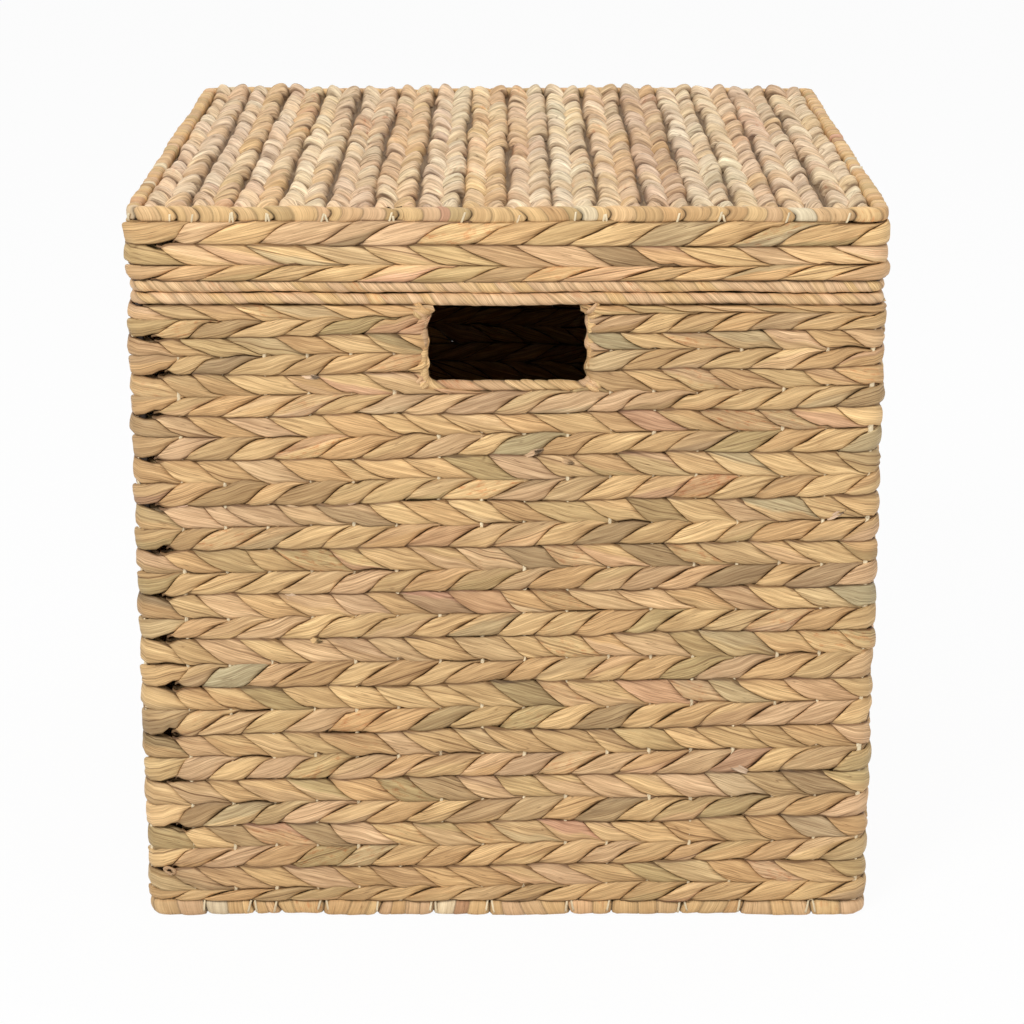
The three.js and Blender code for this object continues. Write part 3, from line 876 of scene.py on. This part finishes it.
def hinge_loop(name, node, seed):
    """Strips side by side round the two rims' rods, each a closed flat band."""
    rng, skin = begin(seed)
    low, high = box_mm(node)
    radius = (high[1] - low[1]) / 2
    rise = high[2] - low[2] - 2 * radius
    middle_y, middle_z = (low[1] + high[1]) / 2, (low[2] + high[2]) / 2
    bend = math.pi * radius
    breaks = running([rise, bend, rise, bend])
    around = np.linspace(0, breaks[-1], 49)[:-1]
    turn = np.interp(around, breaks, np.radians([0, 0, 180, 180, 360]))
    lift = np.interp(around, breaks, [-rise / 2, rise / 2, rise / 2, -rise / 2, -rise / 2])
    width = (high[0] - low[0]) / LOOP_STRIPS
    section = circle(12)
    for k in range(LOOP_STRIPS):
        centre = low[0] + (k + 0.5) * width
        sway = rng.uniform(0.2, 0.7) * np.sin(turn + rng.uniform(0, 6))
        x = centre + sway[:, None] + width * 0.56 * np.cos(section)
        thick = 0.8 + 0.12 * np.sin(3 * turn + rng.uniform(0, 6))
        flattened = np.sign(np.sin(section)) * np.abs(np.sin(section)) ** 0.7
        r = radius - 0.6 + 0.3 * (k % 2) + thick[:, None] * flattened
        r = r + 0.15 * np.cos(3 * section + rng.uniform(0, 6))
        y = middle_y + r * np.cos(turn)[:, None]
        z = middle_z + lift[:, None] + r * np.sin(turn)[:, None]
        grain = stacked(around[:, None], x - centre, rng.uniform(0, IDS))
        skin.ring(stacked(x, y, z), grain, pick_tints(ROPE_LEAVES, 1, rng)[0])
    skin.build(name, rope_leaf, BODY, "leaf_rope", [node])


# Lid bands: three rows, the upper one with its tips under the edge rope

LID_LINES = [band_high[2] + 0.8, band_high[2] - 12.6, band_high[2] - 24.0, band_low[2] - 0.4]


def lid_line(i, along):
    periodic = math.tau * along / RING.length
    return LID_LINES[i] + 0.5 * np.sin(3 * periodic + i) + 0.35 * np.sin(7 * periodic + 2 * i)


# Where the body's rim stands in the lid's own frame when the lid is fully open: out, height, room
RIM_WHEN_OPEN = (7.4, 388.05, 4.6)


def clear_of_rim(along, across, out, _):
    """Rounds off the foot of a band, which swings close past the body's rim."""
    where_out, where_height, room = RIM_WHEN_OPEN
    deep = np.clip(room ** 2 - (across - where_height) ** 2, 0, None)
    return along, across, np.where(deep > 0, np.minimum(out, where_out - np.sqrt(deep)), out)


def lid_band(name, first, form, side, seed, nodes=()):
    """One side's face or lining of the lid: three rows, each given by the lines it starts and ends at."""
    rng, skin = begin(seed)
    places = np.arange(first, first + STITCHES_PER_BAND + 1) * BAND_PITCH
    kept = np.ones(len(places), bool)
    for lines in ((1, 0), (1, 2), (3, 2)):
        key = [88, *lines]
        chances = row_chances(key, first, STITCHES_PER_BAND, key)
        shift = 0 if lines[0] == 3 else BAND_SHIFT * BAND_PITCH
        row = Row(form, places + shift, chances, BAND_JITTER)

        def edges(along, lines=lines):
            return [lid_line(i, along) for i in lines]

        strands(skin, form, BAND_LEAVES, rng, row, kept, edges, clear_of_rim if side > 0 else None, side)
    skin.build(name, wall_leaf, LID, "twined_leaf", nodes)


# Materials. A crease, and painted shade near a groove and along a fold, darken the leaf, and blue more than
# red.

TONE_POWERS = (0.86, 1.01, 1.14)
STAIN = (0.84, 0.53, 0.4, 1)
LEAF_SPECULAR = 0.35
CREASE_WIDTH = 0.009
CREASE_TONE = 0.58
# Painted shade near a groove, which stands in for the contact shadow where leaves meet
GROOVE_SHADE_WIDTH = (0.1, 0.85)
GROOVE_SHADE = 0.36
# Painted shade along the fold line of a folded leaf
FOLD_SHADE_WIDTH = (0.15, 0.55)
FOLD_SHADE = 0.4
IRON_SPOTS = 300.0
IRON_DARK = (0.02, 0.018, 0.016, 1)
IRON_BROWN = (0.09, 0.06, 0.045, 1)


def adder(tree):
    """Clears a node tree and returns a function that adds a node, its inputs being values or sockets."""
    tree.nodes.clear()

    def add(kind, inputs, **settings):
        node = tree.nodes.new("ShaderNode" + kind)
        for name, value in settings.items():
            setattr(node, name, value)
        for socket, value in inputs.items():
            if isinstance(value, bpy.types.NodeSocket):
                tree.links.new(value, node.inputs[socket])
            else:
                node.inputs[socket].default_value = value
        return node

    return add


def new_material(name):
    material = bpy.data.materials.new(name)
    material.use_nodes = True
    return material, adder(material.node_tree)


def leaf_material(name, roughness, relief, fibre, contrast):
    """Dry leaf. It reads the mesh's grain (along the fibre, across it, leaf id), its tint with the
    strength of the fold, and the distance to the nearest groove."""
    material, add = new_material(name)
    grain = add("Attribute", {}, attribute_name="grain").outputs["Vector"]
    tint = add("Attribute", {}, attribute_name="tint").outputs
    groove = add("Attribute", {}, attribute_name="edge").outputs["Fac"]
    split = add("SeparateXYZ", {0: grain}).outputs

    def noise(scale, detail, rough=0.55):
        mapped = add("Mapping", {"Vector": grain, "Scale": scale}).outputs[0]
        inputs = {"Vector": mapped, "Scale": 1.0, "Detail": detail, "Roughness": rough}
        return add("TexNoise", inputs).outputs["Fac"]

    def ramp(value, low, high, start, end):
        inputs = {"Value": value, "From Min": low, "From Max": high, "To Min": start, "To Max": end}
        return add("MapRange", inputs).outputs[0]

    def calculate(operation, a, b=0.0):
        return add("Math", {0: a, 1: b}, operation=operation).outputs[0]

    def product(*values):
        return functools.reduce(lambda a, b: calculate("MULTIPLY", a, b), values)

    # Streaks, threads and dark lines along the fibre, then creases, then painted shade along the fold and
    # near the grooves
    coarse = noise((0.03, fibre * 0.5, 1.0), 3.0)
    fine = noise((0.05, fibre * 2.3, 1.0), 3.0, 0.62)
    dark = noise((0.03, fibre * 1.7, 1.3), 1.5)
    folds = noise((0.012, 0.36, 1.0), 1.0)
    line = calculate("ABSOLUTE", calculate("SUBTRACT", folds, 0.5))
    crease = ramp(line, 0.0, CREASE_WIDTH, CREASE_TONE, 1.0)
    fold_shade_mask = ramp(calculate("ABSOLUTE", split["Y"]), *FOLD_SHADE_WIDTH, 1.0, 0.0)
    tone = product(
        ramp(coarse, 0.3, 0.7, 1 - 0.17 * contrast, 1 + 0.15 * contrast),
        ramp(fine, 0.32, 0.68, 1 - 0.22 * contrast, 1 + 0.19 * contrast),
        ramp(dark, 0.62, 0.72, 1.0, 1 - 0.3 * contrast),
        crease,
        ramp(product(fold_shade_mask, tint["Alpha"]), 0.0, 1.0, 1.0, FOLD_SHADE),
        ramp(groove, *GROOVE_SHADE_WIDTH, GROOVE_SHADE, 1.0),
    )
    powers = {index: calculate("POWER", tone, power) for index, power in enumerate(TONE_POWERS)}
    toned = add("CombineXYZ", powers).outputs[0]

    # Reddish specks and blotches, strong on few leaves
    patches = noise((0.2, 0.5, 1.0), 4.0, 0.65)
    chance = add("TexWhiteNoise", {"W": split["Z"]}, noise_dimensions="1D").outputs["Value"]
    stained = product(ramp(patches, 0.52, 0.66, 0.0, 1.0), ramp(chance, 0.9, 0.97, 0.05, 0.85))
    inputs = {"Factor": stained, "A": tint["Color"], "B": STAIN}
    warm = add("Mix", inputs, data_type="RGBA", blend_type="MULTIPLY").outputs["Result"]

    height = calculate("ADD", calculate("ADD", coarse, product(fine, 0.6)), product(crease, 0.5))
    shader = add("BsdfPrincipled", {
        "Base Color": add("VectorMath", {0: warm, 1: toned}, operation="MULTIPLY").outputs[0],
        "Roughness": ramp(coarse, 0.3, 0.7, roughness + 0.1, roughness - 0.08),
        "Specular IOR Level": LEAF_SPECULAR,
        "Normal": add("Bump", {"Distance": relief, "Strength": 1.0, "Height": height}).outputs[0],
    })
    add("OutputMaterial", {0: shader.outputs[0]})
    return material


wall_leaf = leaf_material("twined_leaf", roughness=0.55, relief=0.0005, fibre=0.8, contrast=1.5)
lid_leaf = leaf_material("lid_leaf", roughness=0.62, relief=0.0009, fibre=1.0, contrast=1.6)
rope_leaf = leaf_material("rope_leaf", roughness=0.6, relief=0.0003, fibre=0.75, contrast=1.25)
edge_leaf = leaf_material("edge_leaf", roughness=0.6, relief=0.0003, fibre=0.6, contrast=0.8)
iron, add = new_material("iron")
colours = add("ValToRGB", {"Fac": add("TexNoise", {"Scale": IRON_SPOTS}).outputs["Fac"]})
colours.color_ramp.elements[0].color = IRON_DARK
colours.color_ramp.elements[1].color = IRON_BROWN
metal = add("BsdfPrincipled", {"Base Color": colours.outputs["Color"], "Metallic": 0.6, "Roughness": 0.6})
add("OutputMaterial", {0: metal.outputs[0]})

for node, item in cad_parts.items():
    if "rod" in node or "post" in node:
        item.data.materials.clear()
        item.data.materials.append(iron)


# Pieces

LINING = dict(stations=9, over=6, under=3, middle=3.6, dive=3.0)
OUTSIDE = form_of(LEAF)
INSIDE = form_of(LEAF, **LINING)
BAND_OUTSIDE = form_of(LEAF, pitch=BAND_PITCH)
BAND_INSIDE = form_of(LEAF, **LINING, pitch=BAND_PITCH)
THIN = dict(shift=-0.5, lowest=2.15, reach=0.66, over_back=0, back_rise=0, point=4.0)
LID_STITCH = form_of(PLUMP)
LID_BACK = form_of(
    PLUMP, **THIN, stations=9, sides=14, thick=2.6, arch=1.0, crease=0.6, tilt=0.6, ridges=0.03, sink=-2.3)
BASE_STITCH = form_of(
    PLUMP, stations=10, sides=16, thick=4.2, arch=3.6, tilt=1.4, ridges=0.04, sink=-0.1, over_back=0,
    back_rise=0, point=3.0)
BASE_BACK = form_of(
    PLUMP, **THIN, stations=7, sides=12, thick=2.0, arch=0.8, crease=0.5, tilt=0.4, ridges=0, sink=-2.1)

for index, side in enumerate(("front", "right", "back", "left")):
    first = index * STITCHES_PER_SIDE
    wall(f"{side}_wall_weave", first, OUTSIDE, 1, 100 + index, [f"{side}_wall"])
    wall(f"{side}_wall_lining", first, INSIDE, -1, 110 + index)
    stakes(f"{side}_stakes", first, 120 + index)
    ends = (9, FRONT_ENDS) if side == "front" else (15,)
    scraps(f"{side}_scraps", first, 150 + index, *ends)
    first = index * STITCHES_PER_BAND
    lid_band(f"lid_{side}_band_weave", first, BAND_OUTSIDE, 1, 130 + index, [f"lid_{side}_band"])
    lid_band(f"lid_{side}_band_lining", first, BAND_INSIDE, -1, 140 + index)

rope_ring("body_rim_rope", RIM_HEIGHT, RIM_RADIUS - ROPE_INSET, BODY, ["body_rim_wrap"], 201, 9.0)
rope_ring("lid_rim_rope", LID_RIM_HEIGHT, RIM_RADIUS - ROPE_INSET, LID, ["lid_rim_wrap"], 202, 9.4)
barrel_ring("lid_edge_rope", EDGE_HEIGHT, EDGE_RADIUS, LID, ["lid_edge_wrap"], 203, 9.5,
            low_turn=-15, high_turn=120, slant=slant_of_sides)
barrel_ring("base_edge_rope", BASE_HEIGHT, BASE_RADIUS - 0.1, BODY, ["base_edge_wrap"], 204, 12.0,
            low_turn=-120, high_turn=20)

for end, y, flip, seed in (("front", -RING_Y, 1, 301), ("back", RING_Y, -1, 302)):
    handle(f"{end}_handle_rope", y, flip, [f"{end}_handle_wrap"], seed)
    knots(f"{end}_handle_knots", y, flip, seed + 2)

lid_mat = functools.partial(
    mat, node="lid_mat", palette=LID_LEAVES, material=lid_leaf, body=LID, slot="lid_leaf")
base_mat = functools.partial(
    mat, node="base_mat", palette=WALL_LEAVES, material=wall_leaf, body=BODY, slot="twined_leaf")
half_of_pairs = MAT_PAIRS // 2
lid_mat("lid_mat_left", LID_STITCH, 401, range(half_of_pairs), replaced=["lid_mat"])
lid_mat("lid_mat_right", LID_STITCH, 402, range(half_of_pairs, MAT_PAIRS))
lid_mat("lid_mat_lining", LID_BACK, 403, range(MAT_PAIRS + 1), side=-1)
base_mat("base_mat_weave", BASE_STITCH, 405, range(MAT_PAIRS), replaced=["base_mat"])
base_mat("base_mat_underside", BASE_BACK, 406, range(MAT_PAIRS + 1), side=-1)

for end, seed in (("left", 501), ("right", 502)):
    hinge_loop(f"hinge_strip_{end}", f"hinge_loop_{end}", seed)


# Camera

camera_data = bpy.data.cameras.new("camera")
camera_data.lens = LENS
camera_data.sensor_width = SENSOR_WIDTH
camera_data.shift_y = CAMERA_SHIFT
camera_data.clip_end = 50
camera = new_object("camera", camera_data)
camera.location = Vector((CAMERA_SIDE, -HALF_DEPTH - CAMERA_AHEAD, CAMERA_HEIGHT)) * MM
camera.rotation_euler = (math.radians(90 - CAMERA_PITCH), 0, 0)
bpy.context.scene.camera = camera


# Floor, world and lights

WORLD_LIGHT = 0.42
FLOOR_HALF = 40.0
FLOOR_COLOUR = (0.86, 0.86, 0.86, 1)
FLOOR_GLOW = 0.95
WHITE = (1, 1, 1, 1)
LIGHTS_AIM = Vector((0, 0, 0.22))


def seen_white(add, output, lit, white):
    """Shows the white shader to the camera, to gloss and through glass, and the lit one elsewhere."""
    rays = add("LightPath", {}).outputs
    seen = rays["Is Camera Ray"]
    for ray in ("Is Glossy Ray", "Is Transmission Ray"):
        seen = add("Math", {0: seen, 1: rays[ray]}, operation="MAXIMUM").outputs[0]
    shown = add("MixShader", {0: seen, 1: lit.outputs[0], 2: white.outputs[0]})
    add(output, {0: shown.outputs[0]})


def area_light(name, position, power, size):
    data = bpy.data.lights.new(name, "AREA")
    data.shape = "DISK"
    data.size = size
    data.energy = power
    lamp = new_object(name, data)
    lamp.location = position
    lamp.rotation_euler = (LIGHTS_AIM - Vector(position)).to_track_quat("-Z", "Y").to_euler()


world = bpy.data.worlds.new("studio")
bpy.context.scene.world = world
world.use_nodes = True
add = adder(world.node_tree)
light, white = (add("Background", {"Color": WHITE, "Strength": level}) for level in (WORLD_LIGHT, 1.0))
seen_white(add, "OutputWorld", light, white)

mesh = bpy.data.meshes.new("floor")
corners = [(FLOOR_HALF * x, FLOOR_HALF * y, 0) for x, y in ((-1, -1), (1, -1), (1, 1), (-1, 1))]
mesh.from_pydata(corners, [], [(0, 1, 2, 3)])
floor = new_object("floor", mesh)
material, add = new_material("floor")
diffuse = add("BsdfDiffuse", {"Color": FLOOR_COLOUR})
glow = add("Emission", {"Strength": 1.0})
both = add("MixShader", {0: FLOOR_GLOW, 1: diffuse.outputs[0], 2: glow.outputs[0]})
seen_white(add, "OutputMaterial", diffuse, both)
mesh.materials.append(material)

area_light("key", (-1.1, -2.0, 2.2), power=46, size=1.1)
area_light("fill", (1.8, -1.8, 1.2), power=12, size=1.6)
area_light("top", (0.3, 0.6, 2.4), power=14, size=1.6)

bpy.context.scene.view_settings.view_transform = "Standard"
